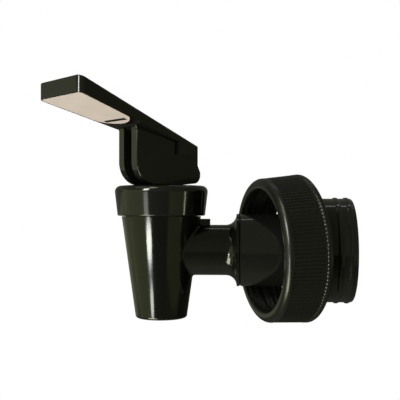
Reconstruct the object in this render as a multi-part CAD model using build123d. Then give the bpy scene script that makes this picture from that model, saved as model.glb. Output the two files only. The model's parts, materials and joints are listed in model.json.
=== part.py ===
from build123d import *
import os
from math import cos, pi, radians, sin, tan

# Lever tap for a refill container, in millimetres.
# The origin is the middle of the gasket's sealing face, on the axis of the tail.
# +X runs to the rear, into the container, and +Z is up along the valve stem.

# Main spacings
stem_to_collar = 27.2          # stem axis to the rear face of the spout's collar
tube_drop = 22.1               # top of the bonnet down to the axis of the side tube

# Bonnet, the round cap that screws on to the spout body
bonnet_wall = 2.5              # at the foot
bonnet_taper = 2.4             # the top is this much wider than the foot
bonnet_height = 10.3
bonnet_edge_radius = 2.0
bonnet_foot_radius = 0.5
bonnet_roof = 2.6
bonnet_boss_wall = 1.5         # guide for the stem under the roof
bonnet_boss_length = 3.4

# Spout body
spout_top_diameter = 27.4
spout_outlet_diameter = 17.6
spout_length = 35.1            # below the bonnet's foot
spout_lip_radius = 1.0
neck_step = 1.2                # shoulder round the threaded neck inside the bonnet
neck_wall = 2.9
chamber_step_depth = 19.0      # bonnet top down to the narrower lower chamber
chamber_step = 1.0
chamber_depth = 29.0           # bonnet top down to the chamber floor
seat_diameter = 9.2            # throat that the plug closes
seat_ring_width = 1.0
seat_ring_height = 0.8
throat_length = 4.0
outlet_wall = 2.0
tube_diameter = 17.3
tube_wall = 2.85
flare_length = 4.8             # tube flares into the collar over this length
collar_width = 1.2
tube_root_radius = 1.0
tab_reach = 16.9               # stem axis to the end of the stop tab on the tube
tab_width = 3.2
tab_drop = 11.4                # bonnet top down to the top of the tab
spigot_wall = 3.2              # the spigot pushes into the shank
spigot_length = 9.2
spigot_groove_depth = 1.4
spigot_groove_width = 1.8
spigot_groove_setback = 4.0

# Shank with its flange and tail
hub_wall = 3.4                 # round the spigot's socket
hub_length = 17.0
hub_root_radius = 1.5
socket_step = 1.0              # ledge at the end of the socket
socket_depth = 9.5
flange_diameter = 43.4
flange_thickness = 2.5
flange_edge_radius = 0.6
gasket_margin = 1.1            # flange shows this much outside the gasket
gasket_thickness = 2.0
gasket_seat_depth = 0.35
tail_diameter = 35.3
tail_length = 16.4
tail_wall = 3.45
tail_edge_radius = 0.9
bead_height = 0.35
bead_land = 0.8
bead_slope = 0.5
front_bead_place = 10.8        # sealing face to the middle of each low bead
rear_bead_place = 14.4
bore_cone_length = 6.0
seam_chamfer = 0.35

# Coupling nut, hanging loose and aslant round the flange
nut_lip_overlap = 0.8          # the lip reaches in over the flange's edge
nut_front_wall = 1.8
nut_rear_wall = 3.0
nut_length = 15.2
nut_lip = 2.2
nut_front_radius = 2.0
nut_hole_radius = 0.8
nut_rim_width = 1.8            # smooth ring behind the ribs
nut_rim_radius = 0.6
rib_count = 124
rib_depth = 0.45
rib_drop = 0.05                # rib crests lie this far under the lip and the rim
nut_front_setback = 15.0       # sealing face forward to the middle of the nut's front
nut_side_shift = 3.2
nut_yaw = 19.7
nut_pitch = 2.4

# Lever, in its own frame: u runs forward from the stem, z up from the bonnet
lever_swivel = 45.8            # turned out from straight ahead
lever_reach = 41.4
lever_rear = 12.4
lever_tip_height = 32.5
lever_top_slope = 18.8
tip_thickness = 5.4
underside_slope = 15.2
tip_width = 24.2
cheek_thickness = 3.0          # each side of the fork
leg_front = 14.6
leg_front_radius = 2.4
leg_edge_radius = 0.4
cam_radius = 7.6
cam_flat_rear = 3.5
heel_reach = 13.6
heel_radius = 3.0
heel_lift = 1.2
heel_bulge = 4.9               # the heel stands out behind the leg up to this height
heel_top = 7.2
fork_slot = 4.2
fork_slot_rear = 4.6
fork_roof = 4.0
tip_corner_radius = 2.0
rear_block_front = -2.7        # the paddle's skirt is deeper behind this place
rear_block_height = 3.5        # at the paddle's rear end
lever_edge_radius = 0.45
pivot_height = 8.0
trunnion_diameter = 3.2
trunnion_length = 1.3

# Ivory plate let into the underside of the lever
insert_thickness = 1.2
insert_leg_gap = 2.1           # the plate ends this far in front of the leg
insert_rim = 0.5
insert_round = 4.1             # the plate's rear end bulges by this much
insert_slot_length = 11.6      # a tab of the lever fills this slot and holds the plate
insert_slot_width = 1.5
insert_slot_setback = 3.0

# Valve
stem_diameter = 5.4
stem_head_width = 7.0
stem_head_foot = 0.6
stem_flat_depth = 4.2          # bonnet top down to where the shaft's two flats end
spring_disc_margin = 0.9
spring_disc_thickness = 1.6
stem_knob_step = 1.0
stem_knob_length = 3.0
stem_neck_diameter = 4.0
stem_neck_length = 3.0
cup_rim = 1.4
cup_wall = 1.2
cup_floor_depth = 17.0         # bonnet top down to the floor inside the cup
cup_taper_start = 15.0
plug_overlap = 1.8             # the plug covers this much round the throat
nose_length = 1.3
spring_wire = 1.0
spring_turns = 6.0
spring_wire_sides = 8

# Clearances
thread_clearance = 0.1
seat_clearance = 0.2           # bonnet foot above the spout's shoulder
push_fit = 0.05
running_clearance = 0.06
fork_clearance = 0.1
head_clearance = 0.5           # fork's slot above the stem's head
lever_clearance = 0.15
insert_clearance = 0.05
cup_clearance = 0.2
seal_gap = 0.05
flange_clearance = 0.8         # nut's bore round the flange
spring_clearance = 0.9         # spring round the bonnet's boss
nose_clearance = 0.5

# Sizes that follow from what each piece fits
neck_diameter = spout_top_diameter - 2 * neck_step
chamber_diameter = neck_diameter - 2 * neck_wall
lower_chamber_diameter = chamber_diameter - 2 * chamber_step
bonnet_foot_diameter = neck_diameter + 2 * (thread_clearance + bonnet_wall)
bonnet_top_diameter = bonnet_foot_diameter + bonnet_taper
bonnet_boss_diameter = stem_diameter + 2 * bonnet_boss_wall
outlet_bore = spout_outlet_diameter - 2 * outlet_wall
tube_bore = tube_diameter - 2 * tube_wall
spigot_diameter = tube_bore + 2 * spigot_wall
hub_diameter = spigot_diameter + 2 * hub_wall
hub_bore = spigot_diameter - 2 * socket_step
tail_bore = tail_diameter - 2 * tail_wall
gasket_seat_diameter = tail_diameter - 2 * gasket_seat_depth
gasket_outer_diameter = flange_diameter - 2 * gasket_margin
nut_bore = flange_diameter + 2 * flange_clearance
nut_hole_diameter = flange_diameter - 2 * nut_lip_overlap
nut_front_diameter = nut_bore + 2 * nut_front_wall
nut_rear_diameter = nut_bore + 2 * nut_rear_wall
leg_thickness = fork_slot + 2 * cheek_thickness
insert_length = lever_reach - insert_rim - leg_front - insert_leg_gap
plug_diameter = seat_diameter + 2 * plug_overlap
nose_diameter = seat_diameter - 2 * nose_clearance
stem_knob_diameter = stem_neck_diameter + 2 * stem_knob_step
spring_diameter = bonnet_boss_diameter + 2 * spring_clearance + spring_wire
spring_disc_diameter = spring_diameter + spring_wire + 2 * spring_disc_margin

# Places that follow from the sizes
flange_front = -(gasket_thickness + flange_thickness)
hub_front = flange_front - hub_length
stem_x = hub_front - stem_to_collar
bonnet_top = tube_drop
chamber_top = -(bonnet_roof + cup_rim)
spout_top = -(bonnet_height + seat_clearance)
spout_end = -(bonnet_height + spout_length)
seat_level = seat_ring_height - chamber_depth
disc_top = spring_disc_thickness - cup_floor_depth
stem_frame = Pos(stem_x, 0, bonnet_top)
lever_frame = stem_frame * Rot(0, 0, 180 + lever_swivel)
tube_frame = Pos(stem_x, 0, 0) * Rot(0, 90, 0)
tail_frame = Rot(0, 90, 0)
nut_frame = Pos(-nut_front_setback, -nut_side_shift, 0) * Rot(0, -nut_pitch, nut_yaw) * Rot(0, 90, 0)


def rounded(face, *corners):
    """Round the outline's corners, each given as across, up and radius."""
    for across, up, radius in corners:
        corner = face.vertices().sort_by_distance((across, up, 0))[0]
        face = fillet(corner, radius)
    return face


def outline(*points):
    """A flat face inside straight lines."""
    return make_face(Polyline(*points, close=True))


def turned(face):
    """Spin an outline of radius and height about the upright axis."""
    return revolve(Plane.XZ * face, Axis.Z)


def ring(inner, outer, low, high):
    """A plain ring between two radii and two heights."""
    return turned(outline((inner, low), (outer, low), (outer, high), (inner, high)))


def spout_body():
    """Cone, neck, side tube and spigot, moulded as one."""
    top_radius = spout_top_diameter / 2
    end_radius = spout_outlet_diameter / 2
    neck_radius = neck_diameter / 2
    cone = rounded(
        outline((0, spout_end), (end_radius, spout_end), (top_radius, spout_top),
                (neck_radius, spout_top), (neck_radius, chamber_top), (0, chamber_top)),
        (end_radius, spout_end, spout_lip_radius))
    tube_radius = tube_diameter / 2
    collar_radius = hub_diameter / 2
    flare_start = stem_to_collar - flare_length
    collar_start = stem_to_collar - collar_width
    spigot_end = stem_to_collar + spigot_length
    groove_start = stem_to_collar + spigot_groove_setback
    groove_end = groove_start + spigot_groove_width
    spigot_radius = spigot_diameter / 2
    groove_radius = spigot_radius - spigot_groove_depth
    flare = ThreePointArc(
        (tube_radius, flare_start),
        (tube_radius + (collar_radius - tube_radius) * (1 - cos(radians(45))),
         flare_start + (collar_start - flare_start) * sin(radians(45))),
        (collar_radius, collar_start))
    rest = Polyline(
        (collar_radius, collar_start), (collar_radius, stem_to_collar - seam_chamfer),
        (collar_radius - seam_chamfer, stem_to_collar), (spigot_radius, stem_to_collar),
        (spigot_radius, groove_start), (groove_radius, groove_start), (groove_radius, groove_end),
        (spigot_radius, groove_end), (spigot_radius, spigot_end), (0, spigot_end), (0, 0),
        (tube_radius, 0), (tube_radius, flare_start))
    tube = tube_frame * turned(make_face(flare + rest))
    body = stem_frame * turned(cone) + tube
    roots = body.edges().filter_by(
        lambda edge: edge.geom_type not in (GeomType.LINE, GeomType.CIRCLE))
    body = fillet(roots, tube_root_radius)
    tab_height = tab_drop - tube_drop
    tab_foot = tube_radius - tube_root_radius
    tab = Box(tab_reach - tube_radius, tab_width, -tab_height - tab_foot,
              align=(Align.MIN, Align.CENTER, Align.MIN))
    body += Pos(stem_x + tube_radius, 0, tab_foot) * tab
    chamber_radius = chamber_diameter / 2
    lower_radius = lower_chamber_diameter / 2
    seat_radius = seat_diameter / 2
    ring_radius = seat_radius + seat_ring_width
    hollow = turned(outline(
        (0, chamber_top), (chamber_radius, chamber_top), (chamber_radius, -chamber_step_depth),
        (lower_radius, -chamber_step_depth), (lower_radius, -chamber_depth),
        (ring_radius, -chamber_depth), (ring_radius, seat_level), (seat_radius, seat_level),
        (seat_radius, -chamber_depth - throat_length), (outlet_bore / 2, spout_end), (0, spout_end)))
    bore = Cylinder(tube_bore / 2, spigot_end, align=(Align.CENTER, Align.CENTER, Align.MIN))
    return body - stem_frame * hollow - tube_frame * bore


def bonnet():
    """Screw cap with a guide boss for the stem."""
    top_radius = bonnet_top_diameter / 2
    foot_radius = bonnet_foot_diameter / 2
    bore_radius = neck_diameter / 2 + thread_clearance
    hole_radius = stem_diameter / 2 + running_clearance
    boss_radius = bonnet_boss_diameter / 2
    boss_end = -bonnet_roof - bonnet_boss_length
    section = rounded(
        outline((hole_radius, 0), (top_radius, 0), (foot_radius, -bonnet_height),
                (bore_radius, -bonnet_height), (bore_radius, -bonnet_roof),
                (boss_radius, -bonnet_roof), (boss_radius, boss_end), (hole_radius, boss_end)),
        (top_radius, 0, bonnet_edge_radius),
        (foot_radius, -bonnet_height, bonnet_foot_radius))
    return stem_frame * turned(section)


def seat_cup():
    """Silicone cup: its rim is clamped, and its plug closes the seat."""
    rim_radius = neck_diameter / 2
    outer = chamber_diameter / 2 - cup_clearance
    inner = outer - cup_wall
    plug_radius = plug_diameter / 2
    neck_radius = stem_neck_diameter / 2 + running_clearance
    knob_radius = stem_knob_diameter / 2 + running_clearance
    knob_top = -cup_floor_depth - stem_neck_length
    knob_end = knob_top - stem_knob_length - running_clearance
    section = outline(
        (0, knob_end), (knob_radius, knob_end), (knob_radius, knob_top), (neck_radius, knob_top),
        (neck_radius, -cup_floor_depth), (inner, -cup_floor_depth), (inner, -bonnet_roof),
        (rim_radius, -bonnet_roof), (rim_radius, chamber_top), (outer, chamber_top),
        (outer, -cup_taper_start), (plug_radius, -chamber_step_depth), (plug_radius, seat_level),
        (nose_diameter / 2, seat_level), (nose_diameter / 4, seat_level - nose_length),
        (0, seat_level - nose_length))
    return stem_frame * turned(section)


def stem():
    """Stem with its spring disc, knob, and flat head with two trunnions."""
    shaft_radius = stem_diameter / 2
    disc_radius = spring_disc_diameter / 2
    disc_foot = seal_gap - cup_floor_depth
    neck_radius = stem_neck_diameter / 2
    knob_radius = stem_knob_diameter / 2
    knob_top = -cup_floor_depth - stem_neck_length - running_clearance
    knob_end = knob_top - stem_knob_length + running_clearance
    shaft = turned(outline(
        (0, knob_end), (knob_radius, knob_end), (knob_radius, knob_top), (neck_radius, knob_top),
        (neck_radius, disc_foot), (disc_radius, disc_foot), (disc_radius, disc_top),
        (shaft_radius, disc_top), (shaft_radius, -stem_flat_depth), (0, -stem_flat_depth)))
    head_thickness = fork_slot - 2 * fork_clearance
    flats = Cylinder(shaft_radius, stem_flat_depth + stem_head_foot,
                     align=(Align.CENTER, Align.CENTER, Align.MIN))
    flats &= Box(stem_diameter, head_thickness, 2 * pivot_height)
    shaft += Pos(0, 0, -stem_flat_depth) * flats
    half = stem_head_width / 2
    side = Pos(0, pivot_height) * Circle(half)
    side += Pos(0, (stem_head_foot + pivot_height) / 2) * Rectangle(
        stem_head_width, pivot_height - stem_head_foot)
    head = extrude(Plane.XZ * side, amount=head_thickness / 2, both=True)
    span = head_thickness + 2 * trunnion_length
    trunnions = Pos(0, 0, pivot_height) * Rot(90, 0, 0) * Cylinder(trunnion_diameter / 2, span)
    return lever_frame * (shaft + head + trunnions)


def return_spring():
    """Coil spring between the stem's disc and the bonnet's roof."""
    wire_radius = spring_wire / 2
    start = disc_top + wire_radius + seal_gap
    height = -bonnet_roof - wire_radius - seal_gap - start
    path = Pos(0, 0, start) * Helix(height / spring_turns, height, spring_diameter / 2)
    section = Plane(path @ 0, z_dir=path % 0) * RegularPolygon(wire_radius, spring_wire_sides)
    return stem_frame * sweep(section, path=path, is_frenet=True)


def lever_top(u):
    """Height of the lever's top plane at a distance forward of the stem."""
    return lever_tip_height - (lever_reach - u) * tan(radians(lever_top_slope))


def lever_under(u):
    """Height of the paddle's underside at a distance forward of the stem."""
    return lever_tip_height - tip_thickness - (lever_reach - u) * tan(radians(underside_slope))


def paddle_half_width(u):
    """The paddle narrows evenly from the tip to the leg's thickness at the rear."""
    share = (u + lever_rear) / (lever_reach + lever_rear)
    return (leg_thickness + (tip_width - leg_thickness) * share) / 2


def upright(face, width):
    """Extrude a side view of the lever evenly to both sides."""
    return extrude(Plane.XZ * face, amount=width / 2, both=True)


def insert_blank(gap):
    """The ivory plate's block, smaller all round by a gap, with a rounded rear end."""
    inset = insert_rim + gap
    front = lever_reach - inset
    rear = lever_reach - insert_rim - insert_length + gap
    shoulder = rear + insert_round
    top_gap = insert_thickness - gap
    side = outline((front, lever_under(front)), (front, lever_under(front) + top_gap),
                   (rear, lever_under(rear) + top_gap), (rear, lever_under(rear)))
    half_front = paddle_half_width(front) - inset
    half_rear = paddle_half_width(shoulder) - inset
    sides = Polyline((shoulder, half_rear), (front, half_front),
                     (front, -half_front), (shoulder, -half_rear))
    end = ThreePointArc((shoulder, -half_rear), (rear, 0), (shoulder, half_rear))
    corner_radius = tip_corner_radius - inset
    plan = rounded(make_face(sides + end),
                   (front, half_front, corner_radius), (front, -half_front, corner_radius))
    return upright(side, tip_width) & extrude(plan, amount=lever_tip_height)


def insert_slot(gap):
    """The slot through the ivory plate, smaller all round by a gap."""
    place = lever_reach - insert_rim - insert_length + insert_slot_setback
    return Pos(place, 0, lever_under(place)) * Box(
        insert_slot_width - 2 * gap, insert_slot_length - 2 * gap, 4 * insert_thickness)


def lever():
    """Paddle on a forked leg whose rounded foot is the cam."""
    rear = -lever_rear
    block_foot = lever_top(rear) - rear_block_height
    side = outline((rear, block_foot), (rear_block_front, block_foot),
                   (rear_block_front, lever_under(rear_block_front)),
                   (lever_reach, lever_under(lever_reach)),
                   (lever_reach, lever_tip_height), (rear, lever_top(rear)))
    half_tip = paddle_half_width(lever_reach)
    half_rear = paddle_half_width(rear)
    plan = rounded(outline((lever_reach, half_tip), (lever_reach, -half_tip),
                           (rear, -half_rear), (rear, half_rear)),
                   (lever_reach, half_tip, tip_corner_radius),
                   (lever_reach, -half_tip, tip_corner_radius))
    paddle = upright(side, tip_width) & extrude(plan, amount=lever_tip_height)
    root = leg_front + insert_leg_gap
    foot = rounded(
        outline((-cam_flat_rear, lever_clearance), (leg_front, lever_clearance),
                (leg_front, lever_under(leg_front)), (root, lever_under(root)), (root, lever_top(root)),
                (rear, lever_top(rear)), (rear, heel_top), (-heel_reach, heel_bulge),
                (-heel_reach, heel_lift)),
        (leg_front, lever_clearance, cam_radius),
        (leg_front, lever_under(leg_front), leg_front_radius),
        (-heel_reach, heel_lift, heel_radius))
    leg = upright(foot, leg_thickness)
    front_edges = leg.edges().filter_by(Axis.Z).group_by(Axis.X)[-2]
    leg = fillet(front_edges, leg_edge_radius)
    body = paddle + leg
    top_edges = body.edges().filter_by(
        lambda edge: edge.center().Z > lever_top(edge.center().X) - lever_edge_radius)
    body = fillet(top_edges, lever_edge_radius)
    slot_front = lever_top(root) - fork_roof
    slot_rear = pivot_height + stem_head_width / 2 + head_clearance
    slot = upright(outline((-fork_slot_rear, -pivot_height), (root, -pivot_height),
                           (root, slot_front), (-fork_slot_rear, slot_rear)), fork_slot)
    span = fork_slot + 2 * (trunnion_length + fork_clearance)
    sockets = Pos(0, 0, pivot_height) * Rot(90, 0, 0) * Cylinder(
        trunnion_diameter / 2 + running_clearance, span)
    recess = insert_blank(0) - insert_slot(insert_clearance)
    return lever_frame * (body - slot - sockets - recess)


def lever_insert():
    """Ivory plate with the narrow slot for the lever's tab."""
    return lever_frame * (insert_blank(insert_clearance) - insert_slot(0))


def shank():
    """Hub, flange and tail, turned as one, with a socket for the spout's spigot."""
    hub_radius = hub_diameter / 2
    flange_radius = flange_diameter / 2
    flange_rear = -gasket_thickness
    tail_radius = tail_diameter / 2
    bead_radius = tail_radius + bead_height
    socket_radius = spigot_diameter / 2 + push_fit
    bore_radius = tail_bore / 2
    cone_start = flange_rear - bore_cone_length
    points = [(socket_radius, hub_front), (hub_radius - seam_chamfer, hub_front),
              (hub_radius, hub_front + seam_chamfer), (hub_radius, flange_front),
              (flange_radius, flange_front), (flange_radius, flange_rear),
              (gasket_seat_diameter / 2, flange_rear), (gasket_seat_diameter / 2, 0),
              (bead_radius, 0), (bead_radius, bead_land), (tail_radius, bead_land + bead_slope)]
    for place in (front_bead_place, rear_bead_place):
        points += [(tail_radius, place - bead_land / 2 - bead_slope), (bead_radius, place - bead_land / 2),
                   (bead_radius, place + bead_land / 2), (tail_radius, place + bead_land / 2 + bead_slope)]
    points += [(tail_radius, tail_length), (bore_radius, tail_length), (bore_radius, flange_rear),
               (hub_bore / 2, cone_start), (hub_bore / 2, hub_front + socket_depth),
               (socket_radius, hub_front + socket_depth)]
    section = rounded(outline(*points),
                      (hub_radius, flange_front, hub_root_radius),
                      (flange_radius, flange_front, flange_edge_radius),
                      (flange_radius, flange_rear, flange_edge_radius),
                      (tail_radius, tail_length, tail_edge_radius))
    return tail_frame * turned(section)


def shank_seal():
    """O-ring in the spigot's groove."""
    groove_radius = spigot_diameter / 2 - spigot_groove_depth
    socket_radius = spigot_diameter / 2 + push_fit
    wire_radius = (socket_radius - groove_radius) / 2 - seal_gap
    middle = stem_to_collar + spigot_groove_setback + spigot_groove_width / 2
    return tube_frame * Pos(0, 0, middle) * Torus((socket_radius + groove_radius) / 2, wire_radius)


def flange_gasket():
    """Flat rubber ring that seals against the container."""
    inner = gasket_seat_diameter / 2 + push_fit
    return tail_frame * ring(inner, gasket_outer_diameter / 2, -gasket_thickness, 0)


def nut_radius(depth):
    """Outer radius of the nut at a depth behind its front face."""
    return (nut_front_diameter + (nut_rear_diameter - nut_front_diameter) * depth / nut_length) / 2


def rib_star(depth):
    """Outline of the ribs at a depth behind the nut's front face."""
    crest = nut_radius(depth) - rib_drop
    corners = []
    for step in range(2 * rib_count):
        radius = crest - rib_depth * (step % 2)
        angle = pi * step / rib_count
        corners.append((radius * cos(angle), radius * sin(angle)))
    return Pos(0, 0, depth) * outline(*corners)


def coupling_nut():
    """Ribbed ring nut with an inward lip that pulls on the flange."""
    hole_radius = nut_hole_diameter / 2
    bore_radius = nut_bore / 2
    rib_end = nut_length - nut_rim_width
    front_root = nut_radius(nut_lip) - rib_drop - 2 * rib_depth
    rear_root = nut_radius(rib_end) - rib_drop - 2 * rib_depth
    section = rounded(
        outline((hole_radius, 0), (nut_radius(0), 0), (nut_radius(nut_lip), nut_lip),
                (front_root, nut_lip), (rear_root, rib_end), (nut_radius(rib_end), rib_end),
                (nut_radius(nut_length), nut_length), (bore_radius, nut_length),
                (bore_radius, nut_lip), (hole_radius, nut_lip)),
        (nut_radius(0), 0, nut_front_radius),
        (hole_radius, 0, nut_hole_radius),
        (nut_radius(nut_length), nut_length, nut_rim_radius))
    ribs = loft([rib_star(nut_lip), rib_star(rib_end)], ruled=True)
    ribs -= Cylinder(bore_radius + rib_depth / 2, nut_length, align=(Align.CENTER, Align.CENTER, Align.MIN))
    return nut_frame * (turned(section) + ribs)


pieces = {
    "spout_body": spout_body,
    "bonnet": bonnet,
    "seat_cup": seat_cup,
    "stem": stem,
    "return_spring": return_spring,
    "lever": lever,
    "lever_insert": lever_insert,
    "shank": shank,
    "shank_seal": shank_seal,
    "flange_gasket": flange_gasket,
    "coupling_nut": coupling_nut,
}

os.makedirs("parts", exist_ok=True)
for name, make in pieces.items():
    export_step(make(), f"parts/{name}.step")
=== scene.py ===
# %% [markdown]
# # A lever tap for a refill container
# The tap is put together from a few plastic mouldings: a conical spout with a side tube, a screw bonnet,
# a paddle lever, and a shank with a flange. A ribbed nut hangs loose round the shank. The imported CAD
# model gives every piece its true size and place, so it is loaded first. Its joints say where the stem
# stands and how the nut's axis slants.

# %% Load the frame
import json
import math
import bpy
import numpy as np
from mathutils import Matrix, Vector


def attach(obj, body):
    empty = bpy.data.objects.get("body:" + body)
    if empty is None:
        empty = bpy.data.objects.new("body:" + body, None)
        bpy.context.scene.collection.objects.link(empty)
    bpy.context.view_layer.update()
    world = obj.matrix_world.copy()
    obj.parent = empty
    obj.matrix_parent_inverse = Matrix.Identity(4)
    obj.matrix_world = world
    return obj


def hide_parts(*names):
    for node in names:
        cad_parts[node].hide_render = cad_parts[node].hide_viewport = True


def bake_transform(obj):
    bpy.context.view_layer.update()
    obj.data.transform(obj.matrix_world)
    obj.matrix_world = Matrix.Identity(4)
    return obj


MM = 0.001
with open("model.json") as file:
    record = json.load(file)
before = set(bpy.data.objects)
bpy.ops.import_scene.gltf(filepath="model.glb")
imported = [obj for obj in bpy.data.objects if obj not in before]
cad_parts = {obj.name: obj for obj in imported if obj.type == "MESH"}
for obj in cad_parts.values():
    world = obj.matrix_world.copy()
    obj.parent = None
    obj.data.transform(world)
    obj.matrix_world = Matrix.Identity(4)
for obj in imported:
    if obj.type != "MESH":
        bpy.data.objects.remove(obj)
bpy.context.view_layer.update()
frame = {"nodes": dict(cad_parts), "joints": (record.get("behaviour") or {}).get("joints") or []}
nodes = frame["nodes"]
joints = {joint["name"]: joint for joint in frame["joints"]}


def joint_place(name):
    """Where a joint sits, in millimetres."""
    return Vector(joints[name]["pos_m"]) / MM


stem_foot = joint_place("lever_swivel")
print("nodes:", sorted(nodes))
print("stem stands on the bonnet at", [round(value, 1) for value in stem_foot], "mm")

# %% [markdown]
# ## The camera
# The photograph was taken from close by, level with the tap, so the near end of the paddle and the
# near side of the nut look larger. A long lens far away would flatten that. The camera stands 251 mm
# in front of the tap's axis, and it is turned a little to the left instead of shifting its lens.

# %% Camera
PHOTO_SIZE = 400
FOCAL_PIXELS = 727.0
CAMERA_PLACE = (-21.5, -251.0, 14.8)
CAMERA_TILT, CAMERA_TURN = 90.55, 3.15
camera_data = bpy.data.cameras.new("photo_camera")
camera_data.sensor_width = 36.0
camera_data.lens = FOCAL_PIXELS / PHOTO_SIZE * camera_data.sensor_width
camera_data.clip_start = 0.01
camera_data.clip_end = 20.0
camera = bpy.data.objects.new("photo_camera", camera_data)
bpy.context.collection.objects.link(camera)
camera.location = Vector(CAMERA_PLACE) * MM
camera.rotation_euler = (math.radians(CAMERA_TILT), 0.0, math.radians(CAMERA_TURN))
bpy.context.scene.camera = camera
print("lens", round(camera_data.lens, 1), "mm")

# %% [markdown]
# ## Floor and background
# The photograph shows the tap on plain white with no shadow near it. A floor well below the tap keeps
# its soft shadow out of the picture. Where the camera sees the floor far off, Light Path's Is Camera
# Ray turns it plain white. Close under the tap it is only paled, so a shadow there stays visible.

# %% Floor
FLOOR_DROP = 400.0 * MM
FLOOR_HALF = 3.0


def new_piece(name, points, faces):
    """A smooth mesh object from points and faces."""
    mesh = bpy.data.meshes.new(name)
    mesh.from_pydata(points, [], faces)
    mesh.validate()
    mesh.shade_smooth()
    obj = bpy.data.objects.new(name, mesh)
    bpy.context.collection.objects.link(obj)
    return obj


corners = [(x * FLOOR_HALF, y * FLOOR_HALF, -FLOOR_DROP) for x, y in ((-1, -1), (1, -1), (1, 1), (-1, 1))]
floor = new_piece("floor", corners, [(0, 1, 2, 3)])
print("floor at", -FLOOR_DROP, "m")

# %% The floor's finish
PALED_TO, WHITE_FROM = 0.50, 0.90
PALENESS = 0.65


def new_material(name):
    """An empty node material and its tree."""
    material = bpy.data.materials.new(name)
    material.use_nodes = True
    material.node_tree.nodes.clear()
    return material, material.node_tree


def add(tree, kind, operation=None, **values):
    """Add a node, choose what it does, and set its sockets by name."""
    node = tree.nodes.new(kind)
    if operation:
        node.operation = operation
    for key, value in values.items():
        node.inputs[key.replace("_", " ")].default_value = value
    return node


def wire(tree, *links):
    """Link nodes: each link is a node and its output, then a node and its input."""
    for source, output, target, socket in links:
        tree.links.new(source.outputs[output], target.inputs[socket])


floor_material, tree = new_material("pale_floor")
diffuse = add(tree, "ShaderNodeBsdfDiffuse", Color=(0.34, 0.34, 0.30, 1))
white = add(tree, "ShaderNodeEmission", Color=(1, 1, 1, 1), Strength=1.0)
path = add(tree, "ShaderNodeLightPath")
place = add(tree, "ShaderNodeNewGeometry")
distance = add(tree, "ShaderNodeVectorMath", "LENGTH")
fade = add(tree, "ShaderNodeMapRange", From_Min=PALED_TO, From_Max=WHITE_FROM, To_Min=PALENESS)
fade.interpolation_type = "SMOOTHSTEP"
both = add(tree, "ShaderNodeMath", "MULTIPLY")
mix = add(tree, "ShaderNodeMixShader")
output = add(tree, "ShaderNodeOutputMaterial")
wire(tree, (place, "Position", distance, 0), (distance, "Value", fade, "Value"),
     (path, "Is Camera Ray", both, 0), (fade, "Result", both, 1), (both, "Value", mix, "Fac"),
     (diffuse, "BSDF", mix, 1), (white, "Emission", mix, 2), (mix, "Shader", output, "Surface"))
floor.data.materials.append(floor_material)
print("camera sees the floor plain white beyond", WHITE_FROM, "m from the origin")

# %% [markdown]
# ## The world
# The camera sees a white background. Metal and clear pieces should show it too, so Is Glossy Ray and Is
# Transmission Ray are added. But the photographed black mirrors hardly any white, as if the tap stood in
# a room and the white came later. So reflections see the background dimmed to a room's brightness.

# %% World
ROOM_TINT = (0.97, 1.0, 0.80, 1)
MIRRORED_LEVEL, FILL_LEVEL = 0.14, 0.10
world = bpy.data.worlds.new("studio")
bpy.context.scene.world = world
world.use_nodes = True
tree = world.node_tree
tree.nodes.clear()
path = add(tree, "ShaderNodeLightPath")
seen = add(tree, "ShaderNodeBackground", Color=(1, 1, 1, 1), Strength=1.0)
mirrored = add(tree, "ShaderNodeBackground", Color=ROOM_TINT, Strength=MIRRORED_LEVEL)
fill = add(tree, "ShaderNodeBackground", Color=ROOM_TINT, Strength=FILL_LEVEL)
either = add(tree, "ShaderNodeMath", "MAXIMUM")
reflections = add(tree, "ShaderNodeMixShader")
mix = add(tree, "ShaderNodeMixShader")
output = add(tree, "ShaderNodeOutputWorld")
wire(tree, (path, "Is Glossy Ray", either, 0), (path, "Is Transmission Ray", either, 1),
     (either, "Value", reflections, "Fac"), (fill, "Background", reflections, 1),
     (mirrored, "Background", reflections, 2), (path, "Is Camera Ray", mix, "Fac"),
     (reflections, "Shader", mix, 1), (seen, "Background", mix, 2), (mix, "Shader", output, "Surface"))
bpy.context.scene.view_settings.view_transform = "Standard"
print("world fill", FILL_LEVEL, "and reflections", MIRRORED_LEVEL)

# %% [markdown]
# ## Lamps
# Black gloss shows its shape by what it mirrors. The cone leans, so it mirrors what is low in front on
# the left, and two small oval boxes stand there for the long broken highlight down the spout. Above them
# a dimmer box is for the bonnet's side, and a tall one for the bonnet's rim and the nut's lip. Wide dim
# boxes, tinted like a room, grey the faces turned left and right. The key light hangs high on the left,
# and the paddle's underside has a box of its own, from below. Two thin strips draw fine lines along the
# tube and down the bonnet's right. The hollow flare of the tube would mirror every lamp on the left as a
# glint, so the two high lamps are kept off the spout's moulding by light linking, as a flag does in a
# studio.

# %% Lamp helpers
def softbox(name, place, aim, size, brightness, colour=(1.0, 1.0, 1.0), shape="RECTANGLE"):
    """A flat lamp whose surface has the given brightness."""
    data = bpy.data.lights.new(name, "AREA")
    data.color = colour
    data.shape = shape
    data.size, data.size_y = size
    area = size[0] * size[1] * (math.pi / 4 if shape == "ELLIPSE" else 1.0)
    data.energy = brightness * math.pi * area
    lamp = bpy.data.objects.new(name, data)
    bpy.context.collection.objects.link(lamp)
    lamp.location = place
    lamp.rotation_euler = (Vector(aim) - Vector(place)).to_track_quat("-Z", "Y").to_euler()
    print(name, round(data.energy, 2), "W")
    return lamp


def keep_off(lamp, piece):
    """Keep a lamp's light off one piece."""
    spared = bpy.data.collections.new(lamp.name + "_spares")
    spared.objects.link(piece)
    for entry in spared.collection_objects:
        entry.light_linking.link_state = "EXCLUDE"
    lamp.light_linking.receiver_collection = spared


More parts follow.
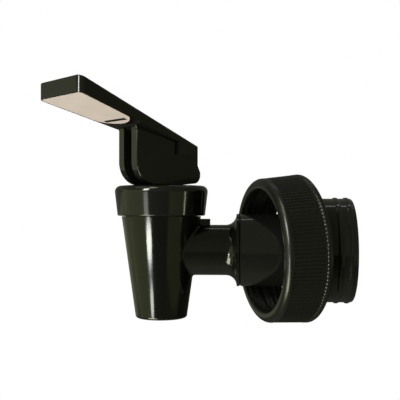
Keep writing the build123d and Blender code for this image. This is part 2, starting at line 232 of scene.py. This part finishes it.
middle = (-0.03, 0.0, 0.0)
spout = (stem_foot.x * MM, 0.0, 0.0)
paddle = (-0.07, -0.02, 0.045)
daylight = (1.0, 1.0, 1.3)
room = (1.0, 1.03, 0.64)
print("lamps aim at", middle, spout, "and", paddle)

# %% Boxes for the highlights, one above the other
BOXES_AT = (-0.210, -0.252)


def strip(name, level, size, brightness, shape="RECTANGLE"):
    """One of the boxes that stand in front on the left, at a level."""
    return softbox(name, (*BOXES_AT, level), spout, size, brightness, daylight, shape)


strip("strip_upper", level=-0.0895, size=(0.088, 0.031), brightness=27.0, shape="ELLIPSE")
strip("strip_lower", level=-0.138, size=(0.070, 0.030), brightness=15.0, shape="ELLIPSE")
strip("strip_bonnet", level=-0.050, size=(0.055, 0.034), brightness=3.6)
strip_high = strip("strip_high", level=0.145, size=(0.066, 0.170), brightness=24.0)

# %% Room boxes, key and thin lines
softbox("box_left", (-0.60, -0.20, -0.10), middle, size=(0.70, 0.50), brightness=0.46, colour=room)
softbox("box_back_left", (-0.44, 0.29, -0.10), spout, size=(0.50, 0.14), brightness=0.32, colour=room)
softbox("box_side", (-0.55, 0.10, 0.17), middle, size=(0.30, 0.15), brightness=0.16, colour=room)
softbox("fill_right", (0.70, -0.55, -0.24), middle, size=(1.00, 0.30), brightness=0.20, colour=room)
softbox("low_fill", (-0.24, -0.22, -0.27), paddle, size=(0.20, 0.20), brightness=10.4)
key_high = softbox("key_high", (-0.22, -0.27, 0.54), middle, size=(0.22, 0.22), brightness=5.0)
softbox("line_behind", (-0.03, 0.24, 0.50), middle, size=(0.60, 0.02), brightness=2.5, colour=daylight)
softbox("line_right", (0.265, -0.141, -0.050), spout, size=(0.010, 0.04), brightness=10.0)
keep_off(strip_high, nodes["spout_body"])
keep_off(key_high, nodes["spout_body"])

# %% [markdown]
# ## An uneven skin
# No surface is quite even: its colour clouds a little, moulded plastic ripples where it shrank, and a
# very fine grain breaks up the shine. All are noise on the piece's own coordinates, so they stay with it
# as it moves. A node group holds them once, and each material only says how strong they are.

# %% Shared shader group
def uneven_skin():
    """Colour, roughness and normal of a surface, varied by noise."""
    group = bpy.data.node_groups.new("uneven_skin", "ShaderNodeTree")
    sockets = (("Colour", "INPUT", "NodeSocketColor"), ("Roughness", "INPUT", "NodeSocketFloat"),
               ("Ripple", "INPUT", "NodeSocketFloat"), ("Grain", "INPUT", "NodeSocketFloat"),
               ("Colour", "OUTPUT", "NodeSocketColor"), ("Roughness", "OUTPUT", "NodeSocketFloat"),
               ("Normal", "OUTPUT", "NodeSocketVector"))
    for name, way, kind in sockets:
        group.interface.new_socket(name, in_out=way, socket_type=kind)
    source = add(group, "NodeGroupInput")
    result = add(group, "NodeGroupOutput")
    coordinates = add(group, "ShaderNodeTexCoord")
    cloud = add(group, "ShaderNodeTexNoise", Scale=140.0, Detail=3.0)
    ripple = add(group, "ShaderNodeTexNoise", Scale=330.0, Detail=1.0)
    grain = add(group, "ShaderNodeTexNoise", Scale=4200.0, Detail=2.0)
    shade = add(group, "ShaderNodeMapRange", From_Min=0.3, From_Max=0.7, To_Min=0.94, To_Max=1.06)
    tint = add(group, "ShaderNodeVectorMath", "SCALE")
    rough = add(group, "ShaderNodeMath", "MULTIPLY")
    wave = add(group, "ShaderNodeBump", Distance=0.12 * MM)
    fine = add(group, "ShaderNodeBump", Distance=0.01 * MM)
    for noise in (cloud, ripple, grain):
        wire(group, (coordinates, "Object", noise, "Vector"))
    wire(group, (cloud, "Fac", shade, "Value"),
         (source, "Colour", tint, 0), (shade, "Result", tint, "Scale"), (tint, "Vector", result, "Colour"),
         (source, "Roughness", rough, 0), (shade, "Result", rough, 1),
         (rough, "Value", result, "Roughness"),
         (source, "Ripple", wave, "Strength"), (ripple, "Fac", wave, "Height"),
         (source, "Grain", fine, "Strength"), (grain, "Fac", fine, "Height"),
         (wave, "Normal", fine, "Normal"), (fine, "Normal", result, "Normal"))
    return group


skin = uneven_skin()
print("group", skin.name, "with", len(skin.nodes), "nodes")

# %% [markdown]
# ## Materials
# The colours are those of the real finishes: a black with a trace of olive, an ivory plate, milky
# silicone, black rubber and spring steel. The nut is the same black with less shine. A picture could be
# wrapped round each piece instead, but noise needs no unwrapping and stays sharp close up. So each finish
# is one Principled shader that the uneven skin feeds.

# %% Materials
materials = {}


def finish(name, colour, roughness, ripple, grain, ior=1.5, shine=(1.0, 1.0, 1.0), metal=0.0):
    """A material whose colour, roughness and normal come through the uneven skin."""
    material, tree = new_material(name)
    group = tree.nodes.new("ShaderNodeGroup")
    group.node_tree = skin
    strengths = {"Colour": (*colour, 1), "Roughness": roughness, "Ripple": ripple, "Grain": grain}
    for socket, value in strengths.items():
        group.inputs[socket].default_value = value
    surface = add(tree, "ShaderNodeBsdfPrincipled", IOR=ior, Specular_Tint=(*shine, 1), Metallic=metal)
    output = add(tree, "ShaderNodeOutputMaterial")
    wire(tree, (group, "Colour", surface, "Base Color"), (group, "Roughness", surface, "Roughness"),
         (group, "Normal", surface, "Normal"), (surface, "BSDF", output, "Surface"))
    materials[name] = material


OLIVE = (0.95, 1.0, 0.70)
finish("black_gloss", (0.0062, 0.0066, 0.0046), roughness=0.11, ripple=0.04, grain=0.12, shine=OLIVE)
finish("nut_black", (0.0050, 0.0053, 0.0038), roughness=0.30, ripple=0.10, grain=0.25, shine=OLIVE)
finish("ivory", (0.69, 0.592, 0.465), roughness=0.36, ripple=0.10, grain=0.20)
finish("silicone", (0.72, 0.71, 0.68), roughness=0.45, ripple=0.10, grain=0.20, ior=1.41)
finish("seal_rubber", (0.016, 0.016, 0.016), roughness=0.62, ripple=0.10, grain=0.60)
finish("spring_steel", (0.56, 0.55, 0.53), roughness=0.28, ripple=0.0, grain=0.40, metal=1.0)
print("materials:", sorted(materials))

# %% [markdown]
# ## The CAD pieces that stay
# Most pieces are turned or flat shapes that the CAD model already draws finely. They could be modelled
# again as meshes, but nothing would be gained, so they keep their CAD meshes and only take a finish.

# %% Finishes on the CAD pieces
finishes = {
    "spout_body": "black_gloss", "bonnet": "black_gloss", "lever": "black_gloss", "stem": "black_gloss",
    "shank": "black_gloss", "lever_insert": "ivory", "shank_seal": "seal_rubber",
    "flange_gasket": "seal_rubber", "coupling_nut": "nut_black", "seat_cup": "silicone",
    "return_spring": "spring_steel",
}


def paint(obj, name):
    """Give a piece one finish."""
    obj.data.materials.clear()
    obj.data.materials.append(materials[name])


for node_name, finish_name in finishes.items():
    paint(nodes[node_name], finish_name)
    print(node_name, len(nodes[node_name].data.polygons), "faces,", finish_name)

# %% [markdown]
# ## The ribbed nut
# The CAD nut has its hundred and twenty-four ribs as a plain zigzag. Here they get rounded crests and
# soft ends, the nut's edges are rounded, and a coarse thread runs inside. None of that is needed for its
# fit. A closed profile goes round the axis, and each point's radius shrinks by a rib shape outside and
# grows by a helix inside. Real geometry is used instead of a bump, because the ribs show along the
# nut's outline.

# %% Nut sizes in millimetres
# The first four are radii: the front hole, the bore, and the outside at the front and at the rear.
HOLE, BORE, FRONT, REAR, LENGTH = 20.9, 22.5, 24.3, 25.5, 15.2
HOLE_ROUND, FRONT_ROUND, REAR_ROUND, MOUTH_ROUND = 0.8, 2.0, 0.6, 0.4
MOUTH_STEP = 0.5
LIP, RIB_END, RIBS = 2.2, 13.4, 124
RIB_DEPTH, CREST_DROP = 0.45, 0.05
RIB_INSET, RIB_ROWS = 1.5, 7
THREAD_PITCH, THREAD_DEPTH, THREAD_ROWS = 3.4, 0.45, 42
RUN_OUT = 1.2
REAR_DEEP = LENGTH - REAR_ROUND
print("nut is", 2 * REAR, "mm across and", LENGTH, "mm long, with", RIBS, "ribs")

# %% Nut profile
# Each rib end is given by distances from the end and the share of the rib's depth there.
RIB_START = ((0.12, 0.45), (0.28, 0.85), (0.5, 1.0))
RIB_STOP = ((0.4, 1.0), (0.2, 0.8), (0.08, 0.4))


def outer_radius(depth):
    """Outer radius of the nut at a depth behind its front face."""
    return FRONT + (REAR - FRONT) * depth / LENGTH


def arc(across, deep, radius, start, end, count):
    """Points on a quarter round, as radius from the axis and depth."""
    turn = [math.radians(start + (end - start) * k / (count - 1)) for k in range(count)]
    return [(across + radius * math.cos(a), deep + radius * math.sin(a)) for a in turn]


def plain(points):
    """Profile rows with no share of rib or thread."""
    return [(radius, depth, 0.0, 0.0) for radius, depth in points]


def ribbed(depth, share):
    """A profile row where the ribs have this share of their depth."""
    return (outer_radius(depth) - CREST_DROP, depth, share, 0.0)


rows = plain(arc(HOLE + HOLE_ROUND, HOLE_ROUND, HOLE_ROUND, 180, 270, count=6))
rows += plain(arc(outer_radius(FRONT_ROUND) - FRONT_ROUND, FRONT_ROUND, FRONT_ROUND, 270, 360, count=10))
rows += plain([(outer_radius(LIP), LIP)])
rows += [ribbed(LIP + depth, share) for depth, share in RIB_START]
for depth in np.linspace(LIP + RIB_INSET, RIB_END - RIB_INSET, RIB_ROWS):
    rows.append(ribbed(float(depth), 1.0))
rows += [ribbed(RIB_END - depth, share) for depth, share in RIB_STOP]
rows += plain([(outer_radius(RIB_END), RIB_END)])
rows += plain(arc(outer_radius(REAR_DEEP) - REAR_ROUND, REAR_DEEP, REAR_ROUND, 0, 90, count=6))
mouth_centre = BORE + MOUTH_STEP + MOUTH_ROUND
rows += plain(arc(mouth_centre, LENGTH - MOUTH_ROUND, MOUTH_ROUND, 90, 180, count=4))
for depth in np.linspace(REAR_DEEP, LIP + RUN_OUT, THREAD_ROWS):
    share = min(1.0, (REAR_DEEP - depth) / RUN_OUT, (depth - LIP - RUN_OUT) / RUN_OUT)
    rows.append((BORE, float(depth), 0.0, share))
rows += plain([(BORE, LIP), (HOLE, LIP)])
print("nut profile has", len(rows), "points")

# %% Nut mesh
RIB_SHAPE = (1.0, 0.48, 0.10, 0.0, 0.10, 0.48)
GROOVE_MIDDLE, GROOVE_SWING = 0.5, 0.95
NEARLY_UPRIGHT = 0.9


def turned_mesh(name, rows, segments, radius_at, origin, axis):
    """A closed ring: every profile row goes round the axis, and the last row joins the first."""
    axis = Vector(axis).normalized()
    side = Vector((0, 0, 1)) if abs(axis.z) < NEARLY_UPRIGHT else Vector((1, 0, 0))
    up = (side - axis * side.dot(axis)).normalized()
    right = axis.cross(up)
    points, faces = [], []
    for row in rows:
        for k in range(segments):
            angle = 2 * math.pi * k / segments
            radius = radius_at(row, k, angle)
            spot = Vector(origin) + axis * row[1]
            spot += (up * math.cos(angle) + right * math.sin(angle)) * radius
            points.append(spot * MM)
    for i in range(len(rows)):
        j = (i + 1) % len(rows)
        for k in range(segments):
            n = (k + 1) % segments
            faces.append((i * segments + k, i * segments + n, j * segments + n, j * segments + k))
    return new_piece(name, points, faces)


def nut_point(row, k, angle):
    """Radius of the nut at one point: ribs outside, a helix inside."""
    radius, depth, rib_share, thread_share = row
    rib = rib_share * RIB_DEPTH * RIB_SHAPE[k % len(RIB_SHAPE)]
    turn = 2 * math.pi * depth / THREAD_PITCH - angle
    groove = min(1.0, max(0.0, GROOVE_MIDDLE + GROOVE_SWING * math.cos(turn)))
    return radius - rib + thread_share * THREAD_DEPTH * groove


nut = turned_mesh("ribbed_nut", rows, len(RIB_SHAPE) * RIBS, nut_point,
                  joint_place("nut_spin"), joints["nut_spin"]["axis"])
paint(nut, "nut_black")
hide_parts("coupling_nut")
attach(nut, "nut")
print("nut:", len(nut.data.polygons), "faces")

# %% [markdown]
# ## The spring and the seat cup
# Both are soft: their tops stay in the tap, and their lower ends rise with the valve. The spring is a
# round wire wound on a helix, and the cup is a profile turned about the stem, as the nut is about its
# axis. Both are built where they sit at rest, and neither is attached to a body.

# %% Return spring
# Heights here are in millimetres from the bonnet's top.
WIRE, COIL, TURNS, FLAT_TURNS = 0.5, 5.6, 6.0, 0.7
LOW, HIGH = -14.85, -3.15
COIL_STEPS, WIRE_SIDES = 288, 12


def coil_mesh(name, steps, sides):
    """A round wire wound on a helix whose last turns lie flat at both ends."""
    points, faces = [], []
    for i in range(steps + 1):
        share = i / steps
        angle = 2 * math.pi * TURNS * share
        rise = min(1.0, max(0.0, (share * TURNS - FLAT_TURNS) / (TURNS - 2 * FLAT_TURNS)))
        out = Vector((math.cos(angle), math.sin(angle), 0))
        centre = stem_foot + out * COIL + Vector((0, 0, LOW + (HIGH - LOW) * rise))
        for k in range(sides):
            a = 2 * math.pi * k / sides
            points.append((centre + (out * math.cos(a) + Vector((0, 0, math.sin(a)))) * WIRE) * MM)
    for i in range(steps):
        for k in range(sides):
            n = (k + 1) % sides
            faces.append((i * sides + k, (i + 1) * sides + k, (i + 1) * sides + n, i * sides + n))
    faces.append(tuple(range(sides)))
    faces.append(tuple(steps * sides + k for k in reversed(range(sides))))
    return new_piece(name, points, faces)


spring = coil_mesh("coil_spring", COIL_STEPS, WIRE_SIDES)
paint(spring, "spring_steel")
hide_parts("return_spring")
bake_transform(spring)
print("spring:", len(spring.data.polygons), "faces")

# %% Seat cup
# Each corner is a radius and a height. The wall between the rim and the taper is what squashes.
CUP = [(0.02, -26.05), (3.05, -26.05), (3.05, -20.0), (2.06, -20.0), (2.06, -17.0), (8.2, -17.0),
       (8.2, -2.6), (12.5, -2.6), (12.5, -4.0), (9.4, -4.0), (9.4, -15.0), (6.4, -19.0), (6.4, -28.2),
       (4.1, -28.2), (2.05, -29.5), (0.02, -29.5)]
ROW_STEP, CUP_SEGMENTS = 0.8, 64


def fine_rows(corners, step):
    """Profile rows no farther apart than a step along the outline."""
    rows = []
    for (r0, z0), (r1, z1) in zip(corners, corners[1:] + corners[:1]):
        count = max(1, math.ceil(math.hypot(r1 - r0, z1 - z0) / step))
        rows += [(r0 + (r1 - r0) * k / count, z0 + (z1 - z0) * k / count) for k in range(count)]
    return rows


cup = turned_mesh("silicone_cup", fine_rows(CUP, ROW_STEP), CUP_SEGMENTS, lambda row, k, angle: row[0],
                  stem_foot, (0, 0, 1))
paint(cup, "silicone")
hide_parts("seat_cup")
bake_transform(cup)
print("cup:", len(cup.data.polygons), "faces")
